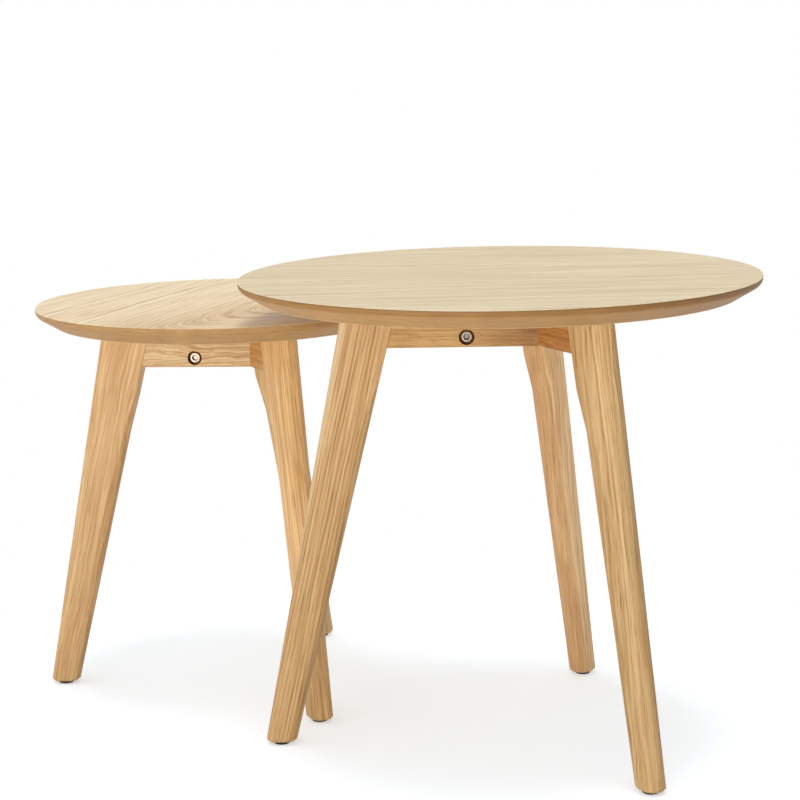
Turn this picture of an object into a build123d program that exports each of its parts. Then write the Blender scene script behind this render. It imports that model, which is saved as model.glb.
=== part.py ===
from build123d import *

import os
from dataclasses import dataclass
from math import cos, radians, sin, sqrt

# Two round three-legged tables of one design, the small one standing partly under the large one.
# Under each top, three rails lie as a pinwheel: every rail carries a leg at its outer end and butts
# with its inner end against the side of the next rail, where a bolt through that rail pulls it home.
# The origin is on the floor, in the middle of the box around both tables, with +Z up.

# Driving dimensions, in millimetres and degrees

# Round tops
large_top_diameter = 500.0
small_top_diameter = 392.0
board_thickness = 19.0  # the whole board, veneers included
veneer_thickness = 0.6
rim_height = 6.0  # upright part of the edge, measured down from the top face
bevel_inset = 22.0  # how far the bevel below the rim runs in
veneer_ease = 0.4  # rounding of the edge of the top face
rim_ease = 7.0  # rounding between the rim and the bevel

# Heights
large_height = 456.0
nesting_gap = 29.0  # free height between the small top and the board above it

# Where the small table stands, seen from the middle of the large one
small_shift_x = -279.2
small_shift_y = 206.1

# How far the left rail points away from the -X direction
large_turn_angle = -1.7
small_turn_angle = -5.4

# Legs
large_foot_reach = 218.6  # along the rail, from the middle of the table to the middle of the foot
small_foot_reach = 180.7
large_shoulder_reach = 122.2  # the same, where the leg meets the board
small_shoulder_reach = 97.9
leg_thickness = 24.5
leg_shoulder_width = 52.0
leg_foot_width = 30.0
leg_round = 11.5  # radius of the rounded corners
leg_seat_round = 1.0  # radius of the inner corners beside the rail
round_start = 32.0  # below the rail, where the inner corners begin to round
round_run = 38.0  # the length over which they reach their full radius
foot_ease = 2.0  # chamfer around the foot

# Rails
rail_height = 45.0
rail_thickness = 24.0
large_rail_gap = 12.8  # from the middle of the table to the inner face of each rail
small_rail_gap = 10.0
rail_ease = 1.0  # chamfer along the lower edges

# Bolts that join the rails, with their washers and threaded inserts
bolt_diameter = 6.0
bolt_head_diameter = 11.0
bolt_head_height = 6.0
bolt_head_ease = 0.7
bolt_lift = 9.5  # bolt above the lower edge of the rail
hex_socket_size = 6.0  # across flats
hex_socket_depth = 3.5
counterbore_diameter = 15.0
counterbore_depth = 9.5
washer_diameter = 12.5
washer_thickness = 1.5
thread_engagement = 12.0
insert_diameter = 9.0
insert_length = 15.0

# Dowels
dowel_diameter = 8.0
rail_dowel_length = 24.0
leg_dowel_length = 30.0
dowel_inset = 12.0  # from the rail's upper or lower edge to the dowel
dowel_ease = 0.8

# Screws that hold the board down on the rails
screw_diameter = 4.5
screw_head_diameter = 8.5
screw_head_height = 3.0
screw_grip = 20.0  # rail left above the screw head
screw_bite = 12.0  # how far the screw goes into the board
cross_recess_length = 5.0
cross_recess_width = 1.2
cross_recess_depth = 1.6

# Glides under the feet, each with its nail
glide_diameter = 16.0
glide_thickness = 3.2
glide_ease = 0.8
nail_diameter = 2.2
nail_head_diameter = 6.0
nail_head_height = 1.0
nail_recess = 1.6  # depth of the seat of the nail head
nail_bite = 12.0  # how far the nail goes into the foot

# Clearances
fit_clearance = 0.1  # around dowels, inserts, screws and nails, on each side
bolt_clearance = 0.3  # around the bolts where they pass through a rail, on each side
head_clearance = 0.6  # around screw heads and nail heads, on each side
hole_end_room = 1.0  # free depth past the end of what sits in a blind hole

# Sizes that follow
bevel_height = board_thickness - rim_height
small_height = large_height - board_thickness - nesting_gap
hex_radius = hex_socket_size / sqrt(3)
sides = {"left": 0.0, "right": 120.0, "back": 240.0}
next_rail_turn = 120.0
origin_axis_up = (0, 0, 1)


@dataclass
class Table:
    """One table of the set: its own sizes, and the place and turn it stands at."""

    name: str
    centre_x: float
    centre_y: float
    turn: float
    height: float
    top_diameter: float
    foot_reach: float
    shoulder_reach: float
    rail_gap: float

    @property
    def rail_offset(self):
        """From the middle of the table to the middle of each rail's thickness."""
        return self.rail_gap + rail_thickness / 2

    @property
    def rail_face(self):
        """From the middle of the table to the outer face of each rail."""
        return self.rail_gap + rail_thickness

    @property
    def underside(self):
        return self.height - board_thickness

    @property
    def rail_bottom(self):
        return self.underside - rail_height

    @property
    def bolt_height(self):
        return self.rail_bottom + bolt_lift

    @property
    def screw_seat(self):
        return self.underside - screw_grip

    @property
    def dowel_heights(self):
        return self.rail_bottom + dowel_inset, self.underside - dowel_inset

    @property
    def axis(self):
        return Axis((self.centre_x, self.centre_y, 0), origin_axis_up)

    def profile_plane(self):
        """The upright plane through the middle of the table, with heights along its second direction."""
        return Plane((self.centre_x, self.centre_y, 0), x_dir=(1, 0, 0), z_dir=(0, -1, 0))

    def bevel_radius(self, height):
        """Radius of the bevelled edge at a height."""
        share = (self.height - rim_height - height) / bevel_height
        return self.top_diameter / 2 - bevel_inset * share

    def flat_plane(self, side, height):
        """A level plane at a height, whose first direction points out along the rail of that side."""
        angle = radians(180.0 + self.turn + side)
        return Plane((self.centre_x, self.centre_y, height), (cos(angle), sin(angle), 0), origin_axis_up)

    def across_plane(self, side, along, outward, height):
        """A plane square across the rail of that side, facing away from the middle of the table."""
        flat = self.flat_plane(side, height)
        return Plane(flat.from_local_coords((along, outward, 0)), flat.x_dir, flat.y_dir)

    def along_plane(self, side, along, outward, height):
        """A plane square to the length of the rail of that side, facing the leg."""
        flat = self.flat_plane(side, height)
        return Plane(flat.from_local_coords((along, outward, 0)), flat.y_dir, flat.x_dir)

    def leg_edges(self, height):
        """How far out along the rail the inner and the outer face of a leg lie at a height."""
        share = (height - glide_thickness) / (self.underside - glide_thickness)
        middle = self.foot_reach + (self.shoulder_reach - self.foot_reach) * share
        width = leg_foot_width + (leg_shoulder_width - leg_foot_width) * share
        return middle - width / 2, middle + width / 2

    @property
    def bolt_along(self):
        """Place of the bolt along its rail: on the middle of the butting rail, half way down the insert."""
        lean = radians(180.0 - next_rail_turn)
        insert_middle = self.rail_gap - insert_length / 2
        return (self.rail_offset + insert_middle * cos(lean)) / sin(lean)

    @property
    def screw_along(self):
        """Place of the board's screw along the rail: half way between the counterbore and the dowels."""
        inner, outer = self.leg_edges(self.underside - dowel_inset)
        dowel_end = inner - leg_dowel_length / 2
        return (self.bolt_along + counterbore_diameter / 2 + dowel_end) / 2

    def screw_points(self):
        """Where the three screws enter the board, seen from above."""
        points = []
        for side in sides.values():
            spot = self.flat_plane(side, 0).from_local_coords((self.screw_along, self.rail_offset, 0))
            points.append((spot.X, spot.Y))
        return points

    def foot_plane(self, side, height):
        """A level plane at a height over the middle of the foot of that side."""
        flat = self.flat_plane(side, height)
        middle = flat.from_local_coords((self.foot_reach, self.rail_offset, 0))
        return Plane(middle, flat.x_dir, origin_axis_up)


def save(piece, label):
    """Give a finished piece its name and write it out."""
    piece.part.label = label
    export_step(piece.part, f"parts/{label}.step")


# The round board: a core between a face veneer and a backing veneer

def make_top_core(table):
    radius = table.top_diameter / 2
    upper = table.height - veneer_thickness
    lower = table.underside + veneer_thickness
    rim_corner = (radius, table.height - rim_height)
    with BuildPart() as core:
        with BuildSketch(table.profile_plane()) as profile:
            with BuildLine():
                Polyline((0, lower), (table.bevel_radius(lower), lower), rim_corner,
                         (radius, upper), (0, upper), close=True)
            make_face()
            fillet(profile.vertices().sort_by_distance((*rim_corner, 0))[0], rim_ease)
        revolve(axis=table.axis)
        with BuildSketch(Plane.XY.offset(lower)):
            with Locations(*table.screw_points()):
                Circle(screw_diameter / 2 + fit_clearance)
        extrude(amount=screw_bite + hole_end_room - veneer_thickness, mode=Mode.SUBTRACT)
    save(core, f"{table.name}_top_core")


def make_top_veneer(table):
    with BuildPart() as veneer:
        with BuildSketch(Plane((table.centre_x, table.centre_y, table.height - veneer_thickness))):
            Circle(table.top_diameter / 2)
        extrude(amount=veneer_thickness)
        fillet(veneer.edges().group_by(Axis.Z)[-1], veneer_ease)
    save(veneer, f"{table.name}_top_veneer")


def make_top_backing(table):
    upper = table.underside + veneer_thickness
    with BuildPart() as backing:
        with BuildSketch(table.profile_plane()):
            with BuildLine():
                Polyline((0, table.underside), (table.bevel_radius(table.underside), table.underside),
                         (table.bevel_radius(upper), upper), (0, upper), close=True)
            make_face()
        revolve(axis=table.axis)
        with BuildSketch(Plane.XY.offset(table.underside)):
            with Locations(*table.screw_points()):
                Circle(screw_diameter / 2 + fit_clearance)
        extrude(amount=veneer_thickness, mode=Mode.SUBTRACT)
    save(backing, f"{table.name}_top_backing")


# A leg: a tapered, leaning post, lofted through level sections from the foot to the board

def make_leg(table, side_name):
    side = sides[side_name]
    round_top = table.rail_bottom - round_start
    round_bottom = round_top - round_run
    eased_round = leg_round - foot_ease
    sections = [
        # height, corner radius outside, corner radius inside, how much the section is drawn in
        (glide_thickness, eased_round, eased_round, foot_ease),
        (glide_thickness + foot_ease, leg_round, leg_round, 0.0),
        (round_bottom, leg_round, leg_round, 0.0),
        (round_top, leg_round, leg_seat_round, 0.0),
        (table.underside, leg_round, leg_seat_round, 0.0),
    ]
    with BuildPart() as leg:
        for height, outer_round, inner_round, drawn_in in sections:
            inner, outer = table.leg_edges(height)
            with BuildSketch(table.flat_plane(side, height)) as section:
                with Locations(((inner + outer) / 2, table.rail_offset)):
                    Rectangle(outer - inner - 2 * drawn_in, leg_thickness - 2 * drawn_in)
                fillet(section.vertices().group_by(Axis.X)[-1], outer_round)
                fillet(section.vertices().group_by(Axis.X)[0], inner_round)
        loft(ruled=True)
        cut_leg_dowel_holes(table, side)
        with BuildSketch(table.foot_plane(side, glide_thickness)):
            Circle(nail_diameter / 2 + fit_clearance)
        extrude(amount=nail_bite + hole_end_room, mode=Mode.SUBTRACT)
    save(leg, f"{table.name}_leg_{side_name}")


def cut_leg_dowel_holes(table, side):
    """Bore the dowel holes on both sides of the joint between a leg and its rail."""
    for height in table.dowel_heights:
        joint, outer = table.leg_edges(height)
        with BuildSketch(table.along_plane(side, joint, table.rail_offset, height)) as hole:
            Circle(dowel_diameter / 2 + fit_clearance)
        extrude(hole.sketch, amount=leg_dowel_length / 2 + hole_end_room, both=True, mode=Mode.SUBTRACT)


# A rail: its outer end follows the lean of the leg, its inner end lies flat on the next rail

def make_rail(table, side_name):
    side = sides[side_name]
    next_side = side + next_rail_turn
    low_end, outer = table.leg_edges(table.rail_bottom)
    high_end, outer = table.leg_edges(table.underside)
    inner_reach = -2 * table.rail_face
    upright = table.flat_plane(side, 0)
    side_view = Plane(upright.from_local_coords((0, table.rail_face, 0)), upright.x_dir, -upright.y_dir)
    next_face = table.across_plane(next_side, 0, table.rail_gap, table.rail_bottom)
    with BuildPart() as rail:
        with BuildSketch(side_view):
            with BuildLine():
                Polyline((inner_reach, table.rail_bottom), (low_end, table.rail_bottom),
                         (high_end, table.underside), (inner_reach, table.underside), close=True)
            make_face()
        extrude(amount=rail_thickness)
        split(bisect_by=next_face, keep=Keep.BOTTOM)
        lower_edges = rail.edges().filter_by(Axis((0, 0, 0), upright.x_dir)).group_by(Axis.Z)[0]
        chamfer(lower_edges, rail_ease)
        # The bolt's counterbored hole, and the dowel hole above it for the rail that butts here
        with Locations(table.across_plane(side, table.bolt_along, table.rail_face, table.bolt_height)):
            CounterBoreHole(bolt_diameter / 2 + bolt_clearance, counterbore_diameter / 2,
                            counterbore_depth, rail_thickness)
        cut_rail_dowel_hole(table, side)
        # The holes in the inner end for the next rail's bolt and dowel
        with BuildSketch(table.across_plane(next_side, table.bolt_along, table.rail_gap, table.bolt_height)):
            Circle(insert_diameter / 2 + fit_clearance)
        extrude(amount=-insert_length - hole_end_room, mode=Mode.SUBTRACT)
        cut_rail_dowel_hole(table, next_side)
        cut_leg_dowel_holes(table, side)
        # The screw's hole, counterbored from below
        seat = table.flat_plane(side, table.screw_seat)
        with BuildSketch(Plane(seat.from_local_coords((table.screw_along, table.rail_offset, 0)))):
            Circle(screw_head_diameter / 2 + head_clearance)
        extrude(amount=-rail_height, mode=Mode.SUBTRACT)
        with BuildSketch(Plane(seat.from_local_coords((table.screw_along, table.rail_offset, 0)))):
            Circle(screw_diameter / 2 + fit_clearance)
        extrude(amount=screw_grip, mode=Mode.SUBTRACT)
    save(rail, f"{table.name}_rail_{side_name}")


def cut_rail_dowel_hole(table, side):
    """Bore the hole of the dowel in the side of one rail and the end of the rail that butts on it."""
    low, high = table.dowel_heights
    with BuildSketch(table.across_plane(side, table.bolt_along, table.rail_gap, high)) as hole:
        Circle(dowel_diameter / 2 + fit_clearance)
    extrude(hole.sketch, amount=rail_dowel_length / 2 + hole_end_room, both=True, mode=Mode.SUBTRACT)


# A glide: a round pad under the foot, with a seat for its nail

def make_glide(table, side_name):
    side = sides[side_name]
    floor = table.foot_plane(side, 0)
    with BuildPart() as glide:
        with BuildSketch(floor):
            Circle(glide_diameter / 2)
        extrude(amount=glide_thickness)
        chamfer(glide.edges().group_by(Axis.Z)[0], glide_ease)
        with Locations(Plane(floor.origin, floor.x_dir, -floor.z_dir)):
            CounterBoreHole(nail_diameter / 2 + fit_clearance, nail_head_diameter / 2 + head_clearance,
                            nail_recess, glide_thickness)
    save(glide, f"{table.name}_glide_{side_name}")


# Fasteners, one group of each kind for each table

def make_frame_bolts(table):
    seat_depth = counterbore_depth - washer_thickness
    length = rail_thickness - seat_depth + thread_engagement
    with BuildPart() as bolts:
        for side in sides.values():
            seat = table.across_plane(side, table.bolt_along, table.rail_face - seat_depth, table.bolt_height)
            crown = seat.offset(bolt_head_height)
            with BuildSketch(seat):
                Circle(bolt_head_diameter / 2)
            extrude(amount=bolt_head_height)
            head_circles = bolts.edges(Select.LAST).filter_by(GeomType.CIRCLE)
            chamfer(head_circles.sort_by_distance(crown.origin)[0], bolt_head_ease)
            with BuildSketch(crown):
                RegularPolygon(hex_radius, 6)
            extrude(amount=-hex_socket_depth, mode=Mode.SUBTRACT)
            with BuildSketch(seat):
                Circle(bolt_diameter / 2)
            extrude(amount=-length)
    save(bolts, f"{table.name}_frame_bolts")


def make_bolt_washers(table):
    with BuildPart() as washers:
        for side in sides.values():
            depth = table.rail_face - counterbore_depth
            with BuildSketch(table.across_plane(side, table.bolt_along, depth, table.bolt_height)):
                Circle(washer_diameter / 2)
                Circle(bolt_diameter / 2 + bolt_clearance, mode=Mode.SUBTRACT)
            extrude(amount=washer_thickness)
    save(washers, f"{table.name}_bolt_washers")


def make_bolt_inserts(table):
    with BuildPart() as inserts:
        for side in sides.values():
            with BuildSketch(table.across_plane(side, table.bolt_along, table.rail_gap, table.bolt_height)):
                Circle(insert_diameter / 2)
                Circle(bolt_diameter / 2 + fit_clearance, mode=Mode.SUBTRACT)
            extrude(amount=-insert_length)
    save(inserts, f"{table.name}_bolt_inserts")


def make_rail_dowels(table):
    low, high = table.dowel_heights
    with BuildPart() as dowels:
        for side in sides.values():
            with BuildSketch(table.across_plane(side, table.bolt_along, table.rail_gap, high)):
                Circle(dowel_diameter / 2)
            extrude(amount=rail_dowel_length / 2, both=True)
        chamfer(dowels.edges().filter_by(GeomType.CIRCLE), dowel_ease)
    save(dowels, f"{table.name}_rail_dowels")


def make_leg_dowels(table):
    with BuildPart() as dowels:
        for side in sides.values():
            for height in table.dowel_heights:
                joint, outer = table.leg_edges(height)
                with BuildSketch(table.along_plane(side, joint, table.rail_offset, height)):
                    Circle(dowel_diameter / 2)
                extrude(amount=leg_dowel_length / 2, both=True)
        chamfer(dowels.edges().filter_by(GeomType.CIRCLE), dowel_ease)
    save(dowels, f"{table.name}_leg_dowels")


def make_top_screws(table):
    with BuildPart() as screws:
        for x, y in table.screw_points():
            seat = Plane((x, y, table.screw_seat))
            with BuildSketch(seat):
                Circle(screw_head_diameter / 2)
            extrude(amount=-screw_head_height)
            with BuildSketch(seat.offset(-screw_head_height)):
                Rectangle(cross_recess_length, cross_recess_width)
                Rectangle(cross_recess_width, cross_recess_length)
            extrude(amount=cross_recess_depth, mode=Mode.SUBTRACT)
            with BuildSketch(seat):
                Circle(screw_diameter / 2)
            extrude(amount=screw_grip + screw_bite)
    save(screws, f"{table.name}_top_screws")


def make_glide_nails(table):
    with BuildPart() as nails:
        for side in sides.values():
            with BuildSketch(table.foot_plane(side, nail_recess)):
                Circle(nail_head_diameter / 2)
            extrude(amount=-nail_head_height)
            with BuildSketch(table.foot_plane(side, nail_recess)):
                Circle(nail_diameter / 2)
            extrude(amount=glide_thickness - nail_recess + nail_bite)
    save(nails, f"{table.name}_glide_nails")


def make_table(table):
    """Make every piece of one table."""
    make_top_core(table)
    make_top_veneer(table)
    make_top_backing(table)
    for side_name in sides:
        make_rail(table, side_name)
        make_leg(table, side_name)
        make_glide(table, side_name)
    make_frame_bolts(table)
    make_bolt_washers(table)
    make_bolt_inserts(table)
    make_rail_dowels(table)
    make_leg_dowels(table)
    make_top_screws(table)
    make_glide_nails(table)


# The origin lies in the middle of the box around both tops

large_radius = large_top_diameter / 2
small_radius = small_top_diameter / 2


def middle_of_box(shift):
    """Middle of the space that both tops take up along one direction, from the middle of the large top."""
    low = min(-large_radius, shift - small_radius)
    high = max(large_radius, shift + small_radius)
    return (low + high) / 2


middle_x = middle_of_box(small_shift_x)
middle_y = middle_of_box(small_shift_y)

large_table = Table(
    name="large",
    centre_x=-middle_x,
    centre_y=-middle_y,
    turn=large_turn_angle,
    height=large_height,
    top_diameter=large_top_diameter,
    foot_reach=large_foot_reach,
    shoulder_reach=large_shoulder_reach,
    rail_gap=large_rail_gap,
)
small_table = Table(
    name="small",
    centre_x=small_shift_x - middle_x,
    centre_y=small_shift_y - middle_y,
    turn=small_turn_angle,
    height=small_height,
    top_diameter=small_top_diameter,
    foot_reach=small_foot_reach,
    shoulder_reach=small_shoulder_reach,
    rail_gap=small_rail_gap,
)

os.makedirs("parts", exist_ok=True)
make_table(large_table)
make_table(small_table)
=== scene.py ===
from dataclasses import dataclass
from math import cos, pi, radians, sin

import bpy
from mathutils import Matrix, Vector


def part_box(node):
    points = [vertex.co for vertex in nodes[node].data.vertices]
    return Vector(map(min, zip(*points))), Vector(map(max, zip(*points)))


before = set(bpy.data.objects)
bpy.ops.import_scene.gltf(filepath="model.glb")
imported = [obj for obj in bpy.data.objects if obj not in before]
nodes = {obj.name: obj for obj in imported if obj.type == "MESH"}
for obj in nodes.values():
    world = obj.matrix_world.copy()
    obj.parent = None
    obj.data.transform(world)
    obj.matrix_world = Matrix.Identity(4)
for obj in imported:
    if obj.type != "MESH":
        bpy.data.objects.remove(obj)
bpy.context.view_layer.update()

# Looks for a set of two round oak tables. All lengths are in metres, all colours are linear.
# Every solid keeps its shape. Each oak piece has a material of its own, so that the grain runs along it.

tables = ("large", "small")
sides = ("left", "right", "back")
up = Vector((0, 0, 1))
rightward = Vector((1, 0, 0))
scene = bpy.context.scene
usual_noise = (0.3, 0.7)  # most values of a noise lie in this range


class Nodes:
    """A tree of shader nodes, with short ways to add them and join them."""

    def __init__(self, tree):
        self.tree = tree

    def add(self, kind, inputs=None, **settings):
        """Add a node, and feed its inputs, which are named or numbered."""
        node = self.tree.nodes.new(kind)
        for name, value in settings.items():
            setattr(node, name, value)
        for key, value in (inputs or {}).items():
            self.feed(node.inputs[key], value)
        return node

    def feed(self, socket, value):
        """Set a socket to a value, or join it to another node's output."""
        if isinstance(value, bpy.types.NodeSocket):
            self.tree.links.new(value, socket)
        else:
            socket.default_value = value

    def split(self, vector):
        return self.add("ShaderNodeSeparateXYZ", {0: vector}).outputs

    def length(self, vector):
        return self.add("ShaderNodeVectorMath", {0: vector}, operation="LENGTH").outputs["Value"]

    def maths(self, operation, first, second=0.0):
        return self.add("ShaderNodeMath", {0: first, 1: second}, operation=operation).outputs[0]

    def spread(self, value, low, high, to_low=0.0, to_high=1.0, shape="LINEAR"):
        """Carry the range from low to high over to another range, and hold it there."""
        inputs = {0: value, 1: low, 2: high, 3: to_low, 4: to_high}
        return self.add("ShaderNodeMapRange", inputs, interpolation_type=shape).outputs[0]

    def mix_shaders(self, factor, first, second):
        return self.add("ShaderNodeMixShader", {0: factor, 1: first, 2: second}).outputs[0]

    def seen_straight(self):
        """1 for rays from the camera and in reflections, 0 for rays that carry light."""
        rays = self.add("ShaderNodeLightPath").outputs
        reflected = self.maths("MAXIMUM", rays["Is Glossy Ray"], rays["Is Transmission Ray"])
        return self.maths("MAXIMUM", rays["Is Camera Ray"], reflected)


class Look(Nodes):
    """A material made of nodes, which vary with the place on the object."""

    def __init__(self, name):
        self.material = bpy.data.materials.new(name)
        self.material.use_nodes = True
        super().__init__(self.material.node_tree)
        self.shader = self.tree.nodes["Principled BSDF"]
        self.place = self.add("ShaderNodeTexCoord").outputs["Object"]

    def set(self, **values):
        """Feed the shader's sockets; an underscore in a name stands for a space."""
        for name, value in values.items():
            self.feed(self.shader.inputs[name.replace("_", " ")], value)

    def colour_so_far(self):
        return self.shader.inputs["Base Color"].links[0].from_socket

    def into(self, origin, x_axis, z_axis):
        """Places measured from an origin along a piece's own directions."""
        y_axis = z_axis.cross(x_axis)
        turn = Matrix((x_axis, y_axis, z_axis)).transposed().to_euler()
        inputs = {"Vector": self.place, "Location": origin, "Rotation": turn}
        return self.add("ShaderNodeMapping", inputs, vector_type="TEXTURE").outputs[0]

    def stretch(self, vector, x, y, z):
        return self.add("ShaderNodeMapping", {"Vector": vector, "Scale": (x, y, z)}).outputs[0]

    def shift(self, vector, offset):
        return self.add("ShaderNodeVectorMath", {0: vector, 1: offset}, operation="ADD").outputs[0]

    def toward(self, vector, way):
        """How far places lie along a way."""
        return self.add("ShaderNodeVectorMath", {0: vector, 1: way}, operation="DOT_PRODUCT").outputs["Value"]

    def noise(self, vector, detail=2.0, roughness=0.5):
        inputs = {"Vector": vector, "Scale": 1.0, "Detail": detail, "Roughness": roughness}
        return self.add("ShaderNodeTexNoise", inputs).outputs["Fac"]

    def even_noise(self, vector, scale, detail=2.0):
        """Noise of the same scale in all directions."""
        return self.noise(self.stretch(vector, scale, scale, scale), detail)

    def line_noise(self, value, detail, roughness):
        inputs = {"W": value, "Scale": 1.0, "Detail": detail, "Roughness": roughness}
        return self.add("ShaderNodeTexNoise", inputs, noise_dimensions="1D").outputs["Fac"]

    def ramp(self, value, *stops):
        """A colour for each value, from stops of place and colour."""
        node = self.add("ShaderNodeValToRGB", {0: value})
        elements = node.color_ramp.elements
        while len(elements) < len(stops):
            elements.new(0.5)
        for element, (place, colour) in zip(elements, stops):
            element.position = place
            element.color = colour
        return node.outputs["Color"]

    def tint(self, factor, colour, tint, kind="MULTIPLY"):
        """Lay a tint over a colour, as far as the factor says."""
        node = self.add("ShaderNodeMix", data_type="RGBA", blend_type=kind, clamp_result=True)
        self.feed(node.inputs["Factor"], factor)
        self.feed(node.inputs[6], colour)
        self.feed(node.inputs[7], tint)
        return node.outputs[2]

    def bump(self, height, distance, strength):
        inputs = {"Height": height, "Distance": distance, "Strength": strength}
        self.set(Normal=self.add("ShaderNodeBump", inputs).outputs[0])

    def wear(self, *names):
        """Put this material on solids in place of what they came with."""
        for name in names:
            nodes[name].data.materials.clear()
            nodes[name].data.materials.append(self.material)


# Oak

oak_dark = (0.625, 0.385, 0.157, 1)
oak_middle = (0.80, 0.545, 0.263, 1)
oak_light = (0.88, 0.64, 0.338, 1)
oak_colours = (oak_dark, oak_middle, oak_light)
fibre_tint = (0.70, 0.585, 0.42, 1)
# Colour of broad changes of tone in the wood, and also of the painted shade at the top of the back leg.
blotch_and_shade_tint = (0.80, 0.71, 0.60, 1)
pore_tint = (0.62, 0.50, 0.38, 1)
# Colour of painted shade: towards the foot of a leg, on one side of a leg and towards the inner end of a
# rail.
painted_shade_tint = (0.60, 0.48, 0.36, 1)

# A scale gives the changes to the metre along, across and through a piece.
# A range gives the values between which an effect goes from its least to its most.
fibre_scale = (9, 500, 500)
fibre_range = (0.39, 0.63)
pore_scale = (30, 1300, 1300)
pore_range = (0.58, 0.68)
early_wood_range = (0.9, 0.3)  # the pores are open in the darker part of a ring
fading_scale = (9, 60, 60)
fading_range = (0.30, 0.62)
waver_range = (0.2, 0.8)
blotch_range = (0.35, 0.70)
ring_range = 0.17  # half of the range of the rings' noise from dark to light, at a contrast of 1
ring_mean = 0.58  # where the rings lie between dark and light when their lines fade
least_presence = 0.25  # what is left of the lines of uneven rings where they fade
even_swing = 0.25  # half of the swing of evenly spaced rings
middle_stop = 0.38  # where the middle colour lies between dark and light
dark_roughness = 0.60
light_roughness = 0.48
fibre_relief = 0.35  # height of the fibres as a share of the depth of the pores
oak_relief = 0.00025
oak_relief_strength = 0.35
seed_way = (1, 0.37, 0.71)  # how far a seed of 1 moves the figure along, across and through
ring_seed = 10  # and by how many rings it moves on


@dataclass
class Tone:
    """A change of colour over a piece: none at the start, full strength at the end."""

    way: tuple  # how much the places along, across and through the piece count
    start: float
    end: float
    strength: float
    colour: tuple
    middle: float = None  # where given, start and end are measured from here to both sides
    kind: str = "MULTIPLY"


@dataclass
class Cut:
    """How a piece was cut out of the tree, and how strong its figure is."""

    pith: tuple  # where the middle of the tree lies, across and through the piece
    rings: float = 190  # growth rings to the metre
    taper: float = 0.004  # how fast the rings leave the direction of the piece
    waver: float = 0.0012  # how far the rings stray sideways
    waver_scale: tuple = (6, 30, 30)
    contrast: float = 0.5  # of the rings
    fine: float = 1.0  # strength of the fibres and pores
    blotch: float = 0.32  # strength of the broad changes of tone
    blotch_scale: tuple = (4, 34, 34)
    even: float = 0.0  # how evenly the rings follow each other, 1 for fully
    seed: float = 0.0
    stain: tuple = (1, 1, 1, 1)
    tones: tuple = ()


def ring_lines(look, cut, ring_place, seeded):
    """The tone of the growth rings, from 0 for dark to 1 for light."""
    ring_count = look.maths("ADD", look.maths("MULTIPLY", ring_place, cut.rings), cut.seed * ring_seed)
    rings = look.line_noise(ring_count, detail=3.0, roughness=0.55)
    if cut.even:
        wave = look.maths("SINE", look.maths("MULTIPLY", ring_count, 2 * pi))
        even_rings = look.spread(wave, -1.0, 1.0, 0.5 - even_swing, 0.5 + even_swing)
        rings = look.add("ShaderNodeMix", {0: cut.even, 2: rings, 3: even_rings}).outputs[0]
    half_range = ring_range / cut.contrast
    rings = look.spread(rings, 0.5 - half_range, 0.5 + half_range)
    # The lines come and go along their length, but less so in even rings
    least = least_presence + (1 - least_presence) * cut.even
    presence = look.spread(look.noise(look.stretch(seeded, *fading_scale)), *fading_range, least, 1.0)
    from_mean = look.maths("MULTIPLY", look.maths("SUBTRACT", rings, ring_mean), presence)
    return look.maths("ADD", from_mean, ring_mean)


def oak(name, piece_frame, cut, colours):
    """Oak with growth rings round the pith, fibres, pores and broad changes of tone."""
    look = Look(name)
    grain = look.into(*piece_frame)
    seed_offset = tuple(cut.seed * share for share in seed_way)
    seeded = look.shift(grain, seed_offset)
    place = look.split(grain)

    waver = look.noise(look.stretch(seeded, *cut.waver_scale))
    stray = look.spread(waver, *waver_range, -cut.waver, cut.waver)
    pith_across, pith_through = cut.pith
    from_pith = look.stretch(look.shift(grain, (0, -pith_across, -pith_through)), 0, 1, 1)
    ring_place = look.maths("ADD", look.length(from_pith), look.maths("MULTIPLY", place["X"], cut.taper))
    ring_place = look.maths("ADD", ring_place, stray)
    rings = ring_lines(look, cut, ring_place, seeded)

    # Fibres and pores follow the rings
    flow = look.add("ShaderNodeCombineXYZ", {"X": place["X"], "Y": ring_place, "Z": place["Z"]}).outputs[0]
    flow = look.shift(flow, seed_offset)
    fibres = look.noise(look.stretch(flow, *fibre_scale), detail=3.0, roughness=0.6)
    pores = look.spread(look.noise(look.stretch(flow, *pore_scale), detail=1.0), *pore_range)
    open_pores = look.maths("MULTIPLY", pores, look.spread(rings, *early_wood_range))
    blotches = look.noise(look.stretch(seeded, *cut.blotch_scale))

    dark, middle, light = colours
    colour = look.ramp(rings, (0.0, dark), (middle_stop, middle), (1.0, light))
    colour = look.tint(look.spread(fibres, *fibre_range, 0.0, cut.fine), colour, fibre_tint)
    colour = look.tint(look.spread(blotches, *blotch_range, 0.0, cut.blotch), colour, blotch_and_shade_tint)
    colour = look.tint(look.maths("MULTIPLY", open_pores, cut.fine), colour, pore_tint)
    colour = look.tint(1.0, colour, cut.stain)
    # A piece's tones hold real changes of tone and also painted light and shade.
    for tone in cut.tones:
        distance = look.toward(grain, tone.way)
        if tone.middle is not None:
            distance = look.maths("ABSOLUTE", look.maths("SUBTRACT", distance, tone.middle))
        amount = look.spread(distance, tone.start, tone.end, 0.0, tone.strength)
        colour = look.tint(amount, colour, tone.colour, tone.kind)
    look.set(Base_Color=colour, Roughness=look.spread(rings, 0.0, 1.0, dark_roughness, light_roughness))
    height = look.maths("SUBTRACT", look.maths("MULTIPLY", fibres, fibre_relief), open_pores)
    look.bump(height, oak_relief, oak_relief_strength)
    return look


# Legs: the grain follows each leg's own lean

# Colour of the painted highlight along a leg's outer rounded edge
painted_highlight_colour = (0.90, 0.72, 0.46, 1)
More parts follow.
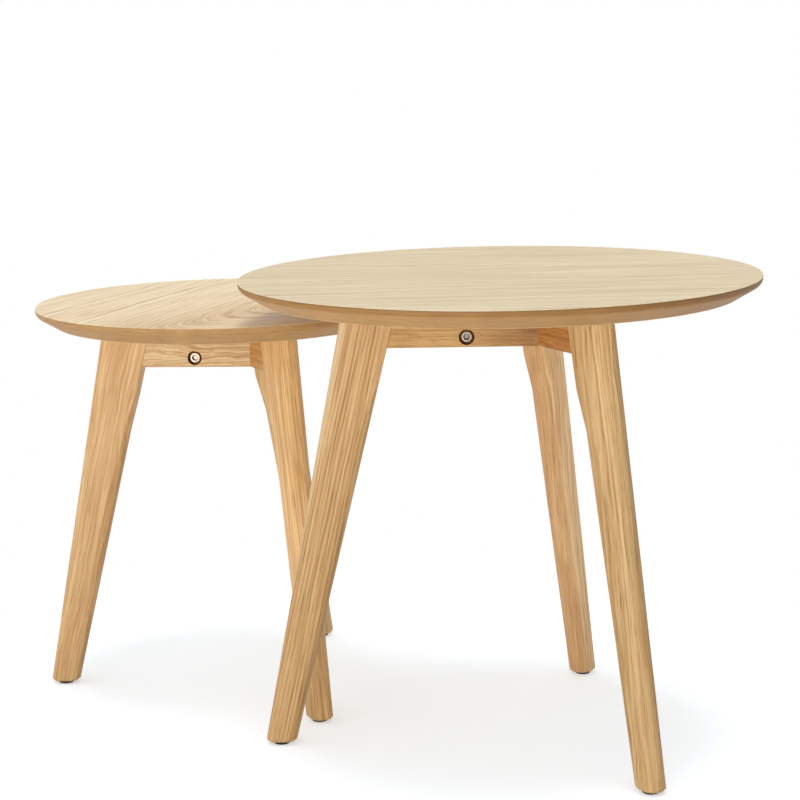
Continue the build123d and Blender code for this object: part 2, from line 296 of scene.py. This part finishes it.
# Tint of the painted light on one side of a leg
painted_light_tint = (1.30, 1.42, 1.55, 1)
foot_zone = 0.4  # over this length a leg may grow darker towards its foot, as painted shade
same_level = 0.0005  # corners of a leg that lie this close in height belong to one end


# Painted shade: a leg grows darker towards its foot.
def painted_foot_shade(strength):
    return Tone(way=(1, 0, 0), start=foot_zone, end=0.0, strength=strength, colour=painted_shade_tint)


# Painted shade: the back leg grows darker towards its top, under the table top.
painted_shoulder_shade = Tone(way=(1, 0, 0), start=0.22, end=0.40, strength=0.45, colour=blotch_and_shade_tint)
# Painted highlight: a pale band along the outer rounded edge of a leg.
painted_edge_highlight = Tone(way=(0, 1, 0), start=0.0165, end=0.0215, strength=0.6, colour=painted_highlight_colour,
                       kind="MIX")
# Painted light: one side of the back leg is lighter.
painted_lit_side = Tone(way=(0, 0, -1), start=0.0105, end=0.0118, strength=1.0, colour=painted_light_tint)
# Painted shade: one side of a leg is darker.
painted_shaded_side = Tone(way=(0, 0, 1), start=0.002, end=0.011, strength=0.75, colour=painted_shade_tint)
brown_core = Tone(way=(0.004, 1, 0), start=0.009, end=0.002, strength=0.5, colour=blotch_and_shade_tint, middle=0.001)

leg_cuts = {
    "large_leg_left": Cut(pith=(-0.35, 0.03), rings=265, waver=0.001, contrast=0.55, blotch=0.16, even=0.8,
                          seed=1.3, stain=(0.91, 0.85, 0.77, 1), tones=(painted_foot_shade(0.22), painted_edge_highlight)),
    "large_leg_right": Cut(pith=(0.06, 0.10), rings=225, taper=0.02, waver=0.0028, waver_scale=(8, 34, 34),
                           contrast=0.58, even=0.35, seed=4.7, stain=(0.98, 0.98, 0.96, 1),
                           tones=(painted_foot_shade(0.34), painted_shaded_side)),
    "large_leg_back": Cut(pith=(0.05, -0.07), rings=190, taper=0.03, waver=0.003, waver_scale=(9, 34, 34),
                          contrast=0.42, fine=0.8, seed=7.9, stain=(1.08, 1.02, 1.05, 1),
                          tones=(painted_foot_shade(0.35), painted_shoulder_shade, painted_lit_side)),
    "small_leg_left": Cut(pith=(-0.16, 0.06), rings=150, taper=0.03, waver=0.005, waver_scale=(8, 26, 26),
                          contrast=0.42, fine=0.8, blotch=0.84, blotch_scale=(8, 80, 80), seed=11.2,
                          stain=(1.13, 1.13, 1.16, 1), tones=(painted_foot_shade(0.46), brown_core)),
    "small_leg_right": Cut(pith=(0.3, 0.12), rings=230, waver=0.001, seed=14.6, stain=(1.17, 1.13, 1.06, 1)),
    "small_leg_back": Cut(pith=(0.2, -0.1), rings=190, taper=0.02, seed=18.1),
}


def corners(name):
    return [vertex.co for vertex in nodes[name].data.vertices]


def reach(points, axes):
    """The lowest and highest places of points along each of some directions."""
    low = [min(point.dot(axis) for point in points) for axis in axes]
    high = [max(point.dot(axis) for point in points) for axis in axes]
    return low, high


def end_middle(points, level):
    """Middle of the corners of a leg that lie at a level."""
    near = [point for point in points if abs(point.z - level) < same_level]
    low = Vector([min(point[k] for point in near) for k in range(3)])
    high = Vector([max(point[k] for point in near) for k in range(3)])
    return (low + high) / 2


def leg_directions(name):
    """Middle of the foot, direction up the leg, and the level direction outward."""
    points = corners(name)
    foot = end_middle(points, min(point.z for point in points))
    shoulder = end_middle(points, max(point.z for point in points))
    lean = shoulder - foot
    outward = Vector((-lean.x, -lean.y, 0)).normalized()
    return foot, lean.normalized(), outward


for name, cut in leg_cuts.items():
    foot, along, outward = leg_directions(name)
    # The piece's second direction points outward, its third through the thickness
    leg_frame = (foot, along, along.cross(outward).normalized())
    oak(f"{name}_oak", leg_frame, cut, oak_colours).wear(name)


# Rails: the grain lies along the rail and waves more, with painted shade in the counterbore for the bolt and
# towards the inner end of some rails

# Tint of the painted shade in the counterbore
painted_hollow_shade_tint = (0.66, 0.32, 0.075, 1)
hollow_low = 0.0012  # the counterbore lies between these heights above the lower edge of a rail
hollow_high = 0.0180
hollow_skin = 0.0004  # and deeper than this behind the faces
upright_limit = 0.01  # the normal of an upright face rises or falls less than this
wavy = {"waver": 0.003, "waver_scale": (18, 40, 40)}


# Painted shade: a rail grows darker towards its inner end.
def painted_inner_end_shade(strength):
    return Tone(way=(1, 0, 0), start=0.015, end=-0.065, strength=strength, colour=painted_shade_tint)


rail_cuts = {
    "large_rail_left": Cut(pith=(0.02, 0.09), rings=240, taper=0.03, waver=0.004, waver_scale=(22, 40, 40),
                           seed=2.1, stain=(0.85, 0.77, 0.58, 1), tones=(painted_inner_end_shade(1.0),)),
    "large_rail_right": Cut(pith=(0.03, -0.06), rings=220, taper=0.04, seed=5.3,
                            stain=(0.70, 0.455, 0.23, 1), **wavy),
    "large_rail_back": Cut(pith=(-0.04, 0.08), rings=220, taper=0.02, seed=8.8, **wavy),
    "small_rail_left": Cut(pith=(0.03, 0.07), rings=200, taper=0.05, waver=0.005, waver_scale=(20, 30, 30),
                           contrast=1.1, seed=12.7, stain=(1.09, 1.18, 1.34, 1),
                           tones=(painted_inner_end_shade(0.24),)),
    "small_rail_right": Cut(pith=(0.02, -0.07), rings=200, taper=0.04, seed=15.9,
                            stain=(0.80, 0.62, 0.40, 1), **wavy),
    "small_rail_back": Cut(pith=(-0.05, 0.06), rings=210, taper=0.02, seed=19.4, **wavy),
}


def rail_frame(name):
    """Middle of a rail with its directions along and up, then its thickness and its height."""
    outward = leg_directions(name.replace("rail", "leg"))[2]
    upright_faces = [face for face in nodes[name].data.polygons if abs(face.normal.z) < upright_limit]
    along = max(upright_faces, key=lambda face: face.area).normal.cross(up).normalized()
    if along.dot(outward) < 0:
        along = -along
    axes = (along, up.cross(along), up)
    low, high = reach(corners(name), axes)
    middle = sum((axis * (a + b) / 2 for axis, a, b in zip(axes, low, high)), Vector())
    return (middle, along, up), high[1] - low[1], high[2] - low[2]


def paint_hollow_shade(look, piece_frame, thickness, height):
    """Paint shade on the walls of the counterbore, which lie inside the faces of the rail."""
    place = look.split(look.into(*piece_frame))
    depth = look.maths("ABSOLUTE", place["Y"])
    inside = look.maths("LESS_THAN", depth, thickness / 2 - hollow_skin)
    above = look.maths("GREATER_THAN", place["Z"], hollow_low - height / 2)
    below = look.maths("LESS_THAN", place["Z"], hollow_high - height / 2)
    hollow_shade = look.maths("MULTIPLY", inside, look.maths("MULTIPLY", above, below))
    look.set(Base_Color=look.tint(hollow_shade, look.colour_so_far(), painted_hollow_shade_tint))


for name, cut in rail_cuts.items():
    piece_frame, thickness, height = rail_frame(name)
    look = oak(f"{name}_oak", piece_frame, cut, oak_colours)
    paint_hollow_shade(look, piece_frame, thickness, height)
    look.wear(name)


# Tops: pale veneer on the face, with a painted highlight round it, and plain veneer below

face_colours = {
    "large": ((0.60, 0.47, 0.285, 1), (0.765, 0.65, 0.44, 1), (0.825, 0.72, 0.505, 1)),
    "small": ((0.63, 0.445, 0.26, 1), (0.90, 0.735, 0.49, 1), (0.955, 0.83, 0.60, 1)),
}
grain_angles = {"large": radians(2), "small": radians(52)}
warm_heart = Tone(way=(0, 1, 0), start=0.075, end=0.0, strength=1.0, colour=blotch_and_shade_tint, middle=-0.065)
face_cuts = {
    "large": Cut(pith=(0.9, 0.25), rings=150, taper=0.012, waver=0.004, waver_scale=(3, 12, 12),
                 contrast=0.72, fine=0.6, blotch=0.4, seed=3.3),
    "small": Cut(pith=(-0.092, -0.05), rings=160, taper=-0.30, waver=0.004, waver_scale=(5, 14, 14),
                 contrast=0.75, fine=0.62, seed=6.1, tones=(warm_heart,)),
}
back_cut = Cut(pith=(0.5, 0.3), rings=120, taper=0.01, waver=0.003, seed=9.5)
# Tint of the painted highlight round the face of a top
edge_highlight_tint = (1.04, 1.04, 1.02, 1)
edge_highlight_width = 0.004  # the painted highlight runs where the edge is eased


def top_frame(table, grain_angle=0.0):
    """Middle of a top's face, the direction of its grain, and up."""
    low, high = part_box(f"{table}_top_veneer")
    middle = (low + high) / 2
    return Vector((middle.x, middle.y, high.z)), Vector((cos(grain_angle), sin(grain_angle), 0)), up


def paint_edge_highlight(look, table):
    """A painted highlight round the face of a top."""
    low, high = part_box(f"{table}_top_veneer")
    radius = (high.x - low.x) / 2
    from_middle = look.length(look.stretch(look.into(*top_frame(table)), 1, 1, 0))
    highlight = look.spread(from_middle, radius - edge_highlight_width, radius - edge_highlight_width / 2)
    look.set(Base_Color=look.tint(highlight, look.colour_so_far(), edge_highlight_tint))


for table in tables:
    piece_frame = top_frame(table, grain_angles[table])
    look = oak(f"{table}_top_face", piece_frame, face_cuts[table], face_colours[table])
    paint_edge_highlight(look, table)
    look.wear(f"{table}_top_veneer")
    oak(f"{table}_top_back", piece_frame, back_cut, oak_colours).wear(f"{table}_top_backing")


# The stained edge of the board: streaks that run round it, a fine speckle and soft clouds, with painted shade
# towards one side

edge_dark = (0.44, 0.235, 0.073, 1)
edge_middle = (0.545, 0.302, 0.10, 1)
edge_light = (0.63, 0.366, 0.132, 1)
edge_stops = ((0.25, edge_dark), (0.5, edge_middle), (0.75, edge_light))
speckle_tint = (0.86, 0.80, 0.72, 1)
speckle_strength = 0.35
speckle_scale = 900
speckle_range = (0.4, 0.7)
speckle_relief = 0.4  # as a share of the relief of the streaks
cloud_tint = (0.88, 0.82, 0.74, 1)
cloud_strength = 0.4
cloud_scale = 14
cloud_range = (0.35, 0.7)
# Tint of the painted shade towards one side of a board's edge
painted_side_shade_tint = (0.70, 0.66, 0.60, 1)
side_shade_range = (-0.3, 0.9)  # cosines of the angle to the shaded side over which the painted shade deepens
streaks_round = 9  # changes of the streaks to the radian
streaks_down = 420  # and to the metre of height
rim_range = (-0.0066, -0.0046)  # heights from the face veneer over which the bevel turns into the rim
joint_range = (-0.0018, -0.0006)  # and over which the joint under the veneer darkens
edge_roughness = (0.50, 0.62)
edge_relief = 0.00015
edge_relief_strength = 0.25


def edge_board(table, rim_tint, joint_tint, shaded_side, side_shading):
    """Stain the edge of a board, with painted shade towards one side: 1 for the right, -1 for the left."""
    look = Look(f"{table}_board_edge")
    low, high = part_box(f"{table}_top_core")
    middle = Vector(((low.x + high.x) / 2, (low.y + high.y) / 2, high.z))
    place = look.into(middle, rightward, up)
    flat = look.stretch(place, 1, 1, 0)
    heading = look.add("ShaderNodeVectorMath", {0: flat}, operation="NORMALIZE").outputs[0]
    height = look.split(place)["Z"]
    rise = look.add("ShaderNodeCombineXYZ", {"Z": height}).outputs[0]
    around = look.stretch(look.shift(heading, rise), streaks_round, streaks_round, streaks_down)
    streaks = look.noise(around, detail=3.0, roughness=0.6)
    speckle = look.even_noise(place, speckle_scale)
    clouds = look.even_noise(place, cloud_scale)
    colour = look.ramp(streaks, *edge_stops)
    colour = look.tint(look.spread(speckle, *speckle_range, 0.0, speckle_strength), colour, speckle_tint)
    colour = look.tint(look.spread(clouds, *cloud_range, 0.0, cloud_strength), colour, cloud_tint)
    colour = look.tint(look.spread(height, *rim_range), colour, rim_tint)
    colour = look.tint(look.spread(height, *joint_range), colour, joint_tint)
    toward_shaded_side = look.maths("MULTIPLY", look.split(heading)["X"], shaded_side)
    colour = look.tint(look.spread(toward_shaded_side, *side_shade_range, 0.0, side_shading), colour, painted_side_shade_tint)
    look.set(Base_Color=colour, Roughness=look.spread(streaks, *usual_noise, *edge_roughness))
    relief = look.maths("ADD", streaks, look.maths("MULTIPLY", speckle, speckle_relief))
    look.bump(relief, edge_relief, edge_relief_strength)
    look.wear(f"{table}_top_core")


edge_board("large", rim_tint=(0.72, 0.63, 0.47, 1), joint_tint=(0.72, 0.76, 0.80, 1),
           shaded_side=1, side_shading=1.0)
edge_board("small", rim_tint=(0.96, 0.97, 1.06, 1), joint_tint=(0.90, 0.92, 0.94, 1),
           shaded_side=-1, side_shading=0.25)


# Metal

metal_blotch_scale = 260
smoother = 0.08  # how far the roughness of a metal goes below and above its mean
rougher = 0.10
upward_marks = 4  # turning marks change this many times faster upward
mark_relief = 0.00005
mark_relief_strength = 0.2


@dataclass
class Plating:
    """The finish of a metal."""

    dark: tuple
    light: tuple
    rough: float
    marks: float  # turning marks to the metre


bolt_platings = {
    "large": Plating(dark=(0.29, 0.245, 0.19, 1), light=(0.43, 0.37, 0.30, 1), rough=0.30, marks=900),
    "small": Plating(dark=(0.40, 0.335, 0.26, 1), light=(0.58, 0.50, 0.405, 1), rough=0.30, marks=900),
}
washer_plating = Plating(dark=(0.38, 0.165, 0.035, 1), light=(0.50, 0.22, 0.055, 1), rough=0.55, marks=700)
insert_plating = Plating(dark=(0.50, 0.46, 0.36, 1), light=(0.68, 0.63, 0.50, 1), rough=0.35, marks=700)
screw_plating = Plating(dark=(0.52, 0.46, 0.33, 1), light=(0.72, 0.66, 0.50, 1), rough=0.32, marks=800)
nail_plating = Plating(dark=(0.42, 0.41, 0.39, 1), light=(0.60, 0.58, 0.55, 1), rough=0.40, marks=800)


def metal(name, pieces, plating):
    """Metal with fine turning marks and blotches."""
    look = Look(name)
    marks = look.noise(look.stretch(look.place, plating.marks, plating.marks, plating.marks * upward_marks))
    blotches = look.even_noise(look.place, metal_blotch_scale)
    colour = look.ramp(blotches, (usual_noise[0], plating.dark), (usual_noise[1], plating.light))
    roughness = look.spread(marks, *usual_noise, plating.rough - smoother, plating.rough + rougher)
    look.set(Base_Color=colour, Metallic=1.0, Roughness=roughness)
    look.bump(marks, mark_relief, mark_relief_strength)
    look.wear(*pieces)
    return look


def both(piece):
    return [f"{table}_{piece}" for table in tables]


# The sockets of the bolts get painted shade, with a painted glint in the middle

# Tint of the painted shade in the sockets of the bolts
painted_socket_shade_tint = (0.27, 0.24, 0.20, 1)
socket_radius = 0.0042
socket_skin = 0.0004  # a socket lies deeper than this behind the face of its head
glint_radius = 0.0013
glint_shade = 0.1  # how much of the painted shade is left in the glint
head_sweep = 0.012  # a little more than the width of a bolt's head


def bolt_heads(table):
    """For each bolt, the middle of its head's face with the directions of its rail."""
    middle = top_frame(table)[0]
    points = corners(f"{table}_frame_bolts")
    for side in sides:
        rail_middle, along = rail_frame(f"{table}_rail_{side}")[0][:2]
        facing = up.cross(along)
        if (rail_middle - middle).dot(facing) < 0:
            facing = -facing
        furthest = max((point - middle).dot(along) for point in points)
        own = [point for point in points if (point - middle).dot(along) > furthest - head_sweep]
        low, high = reach(own, (along, facing, up))
        face_middle = along * (low[0] + high[0]) / 2 + facing * high[1] + up * (low[2] + high[2]) / 2
        yield face_middle, along, up


def paint_socket_shade(look, table):
    """Paint shade on what lies behind the face of a bolt's head and near its axis, but for the very middle,
    which is left as a painted glint.
    """
    colour = look.colour_so_far()
    for head in bolt_heads(table):
        place = look.into(*head)
        depth = look.maths("ABSOLUTE", look.split(place)["Y"])
        from_axis = look.length(look.stretch(place, 1, 0, 1))
        behind = look.maths("GREATER_THAN", depth, socket_skin)
        near = look.maths("LESS_THAN", from_axis, socket_radius)
        ring = look.spread(from_axis, glint_radius, glint_radius * 2, glint_shade, 1.0)
        socket = look.maths("MULTIPLY", ring, look.maths("MULTIPLY", behind, near))
        colour = look.tint(socket, colour, painted_socket_shade_tint)
    look.set(Base_Color=colour)


for table in tables:
    look = metal(f"{table}_bolt_look", [f"{table}_frame_bolts"], bolt_platings[table])
    paint_socket_shade(look, table)
metal("washer_look", both("bolt_washers"), washer_plating)
metal("insert_look", both("bolt_inserts"), insert_plating)
metal("screw_look", both("top_screws"), screw_plating)
metal("nail_look", both("glide_nails"), nail_plating)


# Foot pads: dark moulded plastic with a fine matt grain, scuffed a little

plastic_stops = ((0.35, (0.020, 0.013, 0.009, 1)), (0.75, (0.045, 0.031, 0.022, 1)))
plastic_roughness = (0.60, 0.75)
plastic_gloss = 0.2
plastic_grain_scale = 2200
scuff_scale = 320
plastic_relief = 0.0001
plastic_relief_strength = 0.3

look = Look("glide_plastic_look")
scuffs = look.even_noise(look.place, scuff_scale, detail=3.0)
look.set(Base_Color=look.ramp(scuffs, *plastic_stops))
look.set(Roughness=look.spread(scuffs, *usual_noise, *plastic_roughness), Specular_IOR_Level=plastic_gloss)
look.bump(look.even_noise(look.place, plastic_grain_scale), plastic_relief, plastic_relief_strength)
for side in sides:
    look.wear(*both(f"glide_{side}"))


# Dowels: plain beech with short flecks

beech_dark = (0.60, 0.42, 0.25, 1)
beech_light = (0.70, 0.52, 0.33, 1)
beech_roughness = (0.50, 0.65)
beech_scale = 90
fleck_tint = (0.70, 0.55, 0.42, 1)
fleck_strength = 0.5
fleck_scale = (500, 500, 1400)
fleck_range = (0.55, 0.7)
fleck_relief = 0.0001
fleck_relief_strength = 0.2

look = Look("dowel_look")
flecks = look.spread(look.noise(look.stretch(look.place, *fleck_scale), detail=1.0), *fleck_range)
beech = look.even_noise(look.place, beech_scale)
colour = look.ramp(beech, (usual_noise[0], beech_dark), (usual_noise[1], beech_light))
colour = look.tint(look.maths("MULTIPLY", flecks, fleck_strength), colour, fleck_tint)
look.set(Base_Color=colour, Roughness=look.spread(beech, *usual_noise, *beech_roughness))
look.bump(flecks, fleck_relief, fleck_relief_strength)
look.wear(*both("rail_dowels"), *both("leg_dowels"))


# Floor: white to the camera where the light falls on it freely, with the shadow left in

floor_half = 40.0
floor_bounce = (0.80, 0.80, 0.80, 1)  # the floor as it lights the tables from below
floor_shade = (0.82, 0.91, 0.99, 1)  # the floor as the camera sees it, on top of its glow
floor_glow = 0.465
fade_start = 0.36  # from here on the floor runs out into plain white
fade_end = 0.62


def floor_material():
    material = bpy.data.materials.new("floor_white")
    material.use_nodes = True
    tree = material.node_tree
    tree.nodes.remove(tree.nodes["Principled BSDF"])
    floor_nodes = Nodes(tree)
    bounce = floor_nodes.add("ShaderNodeBsdfDiffuse", {"Color": floor_bounce}).outputs[0]
    shade = floor_nodes.add("ShaderNodeBsdfDiffuse", {"Color": floor_shade}).outputs[0]
    glow = floor_nodes.add("ShaderNodeEmission", {"Strength": floor_glow}).outputs[0]
    shown = floor_nodes.add("ShaderNodeAddShader", {0: shade, 1: glow}).outputs[0]
    plain_white = floor_nodes.add("ShaderNodeEmission").outputs[0]
    distance = floor_nodes.length(floor_nodes.add("ShaderNodeTexCoord").outputs["Object"])
    fade = floor_nodes.spread(distance, fade_start, fade_end, shape="SMOOTHSTEP")
    seen = floor_nodes.mix_shaders(fade, shown, plain_white)
    surface = floor_nodes.mix_shaders(floor_nodes.seen_straight(), bounce, seen)
    floor_nodes.feed(tree.nodes["Material Output"].inputs["Surface"], surface)
    return material


floor_corners = [(-floor_half, -floor_half, 0), (floor_half, -floor_half, 0),
                 (floor_half, floor_half, 0), (-floor_half, floor_half, 0)]
floor_mesh = bpy.data.meshes.new("floor")
floor_mesh.from_pydata(floor_corners, [], [(0, 1, 2, 3)])
floor_mesh.materials.append(floor_material())
floor = bpy.data.objects.new("floor", floor_mesh)
scene.collection.objects.link(floor)


# Light: soft from all round, stronger from the left, with white behind everything, and three large lamps

white = (1, 1, 1, 1)
ambient_left = 0.80
ambient_right = 0.30
light_aim = Vector((0, 0, 0.25))


def studio_world():
    world = bpy.data.worlds.new("studio")
    world.use_nodes = True
    tree = world.node_tree
    world_nodes = Nodes(tree)
    sideways = world_nodes.split(world_nodes.add("ShaderNodeTexCoord").outputs["Generated"])["X"]
    ambient = tree.nodes["Background"]
    world_nodes.feed(ambient.inputs["Color"], white)
    strength = world_nodes.spread(sideways, -1.0, 1.0, ambient_left, ambient_right)
    world_nodes.feed(ambient.inputs["Strength"], strength)
    backdrop = world_nodes.add("ShaderNodeBackground", {"Color": white, "Strength": 1.0}).outputs[0]
    surface = world_nodes.mix_shaders(world_nodes.seen_straight(), ambient.outputs[0], backdrop)
    world_nodes.feed(tree.nodes["World Output"].inputs["Surface"], surface)
    return world


def soft_box(name, place, width, height, power):
    """A large lamp that points at the tables and doesn't show itself."""
    lamp = bpy.data.lights.new(name, "AREA")
    lamp.shape = "RECTANGLE"
    lamp.size = width
    lamp.size_y = height
    lamp.energy = power
    holder = bpy.data.objects.new(name, lamp)
    holder.location = place
    holder.visible_camera = False
    holder.rotation_euler = (light_aim - Vector(place)).to_track_quat("-Z", "Y").to_euler()
    scene.collection.objects.link(holder)


scene.world = studio_world()
soft_box("overhead_light", place=(0.25, -0.35, 6.0), width=2.2, height=2.2, power=140)
soft_box("front_light", place=(-2.2, -5.0, 0.6), width=3.4, height=1.1, power=109)
soft_box("right_fill", place=(3.6, -3.4, 0.7), width=2.4, height=1.2, power=8)


# Camera, placed from the middle of the large top

camera_left = 0.0969
camera_back = 2.2082
camera_height = 0.7275  # above the floor
camera_pitch = 0.1754
camera_roll = -0.0191
image_width = 800
focal_pixels = 2323.6  # focal length in pixels of an image of that width
sensor_width = 36.0

top_middle = top_frame("large")[0]
camera_place = Vector((top_middle.x - camera_left, top_middle.y - camera_back, camera_height))
forward = Vector((0, cos(camera_pitch), -sin(camera_pitch)))
level_up = rightward.cross(forward)
camera_right = rightward * cos(camera_roll) + level_up * sin(camera_roll)
camera_up = camera_right.cross(forward)
camera_turn = Matrix((camera_right, camera_up, -forward)).transposed().to_4x4()

camera_data = bpy.data.cameras.new("camera")
camera_data.sensor_width = sensor_width
camera_data.lens = focal_pixels / image_width * sensor_width
camera = bpy.data.objects.new("camera", camera_data)
camera.matrix_world = Matrix.Translation(camera_place) @ camera_turn
scene.collection.objects.link(camera)
scene.camera = camera
scene.view_settings.view_transform = "Standard"
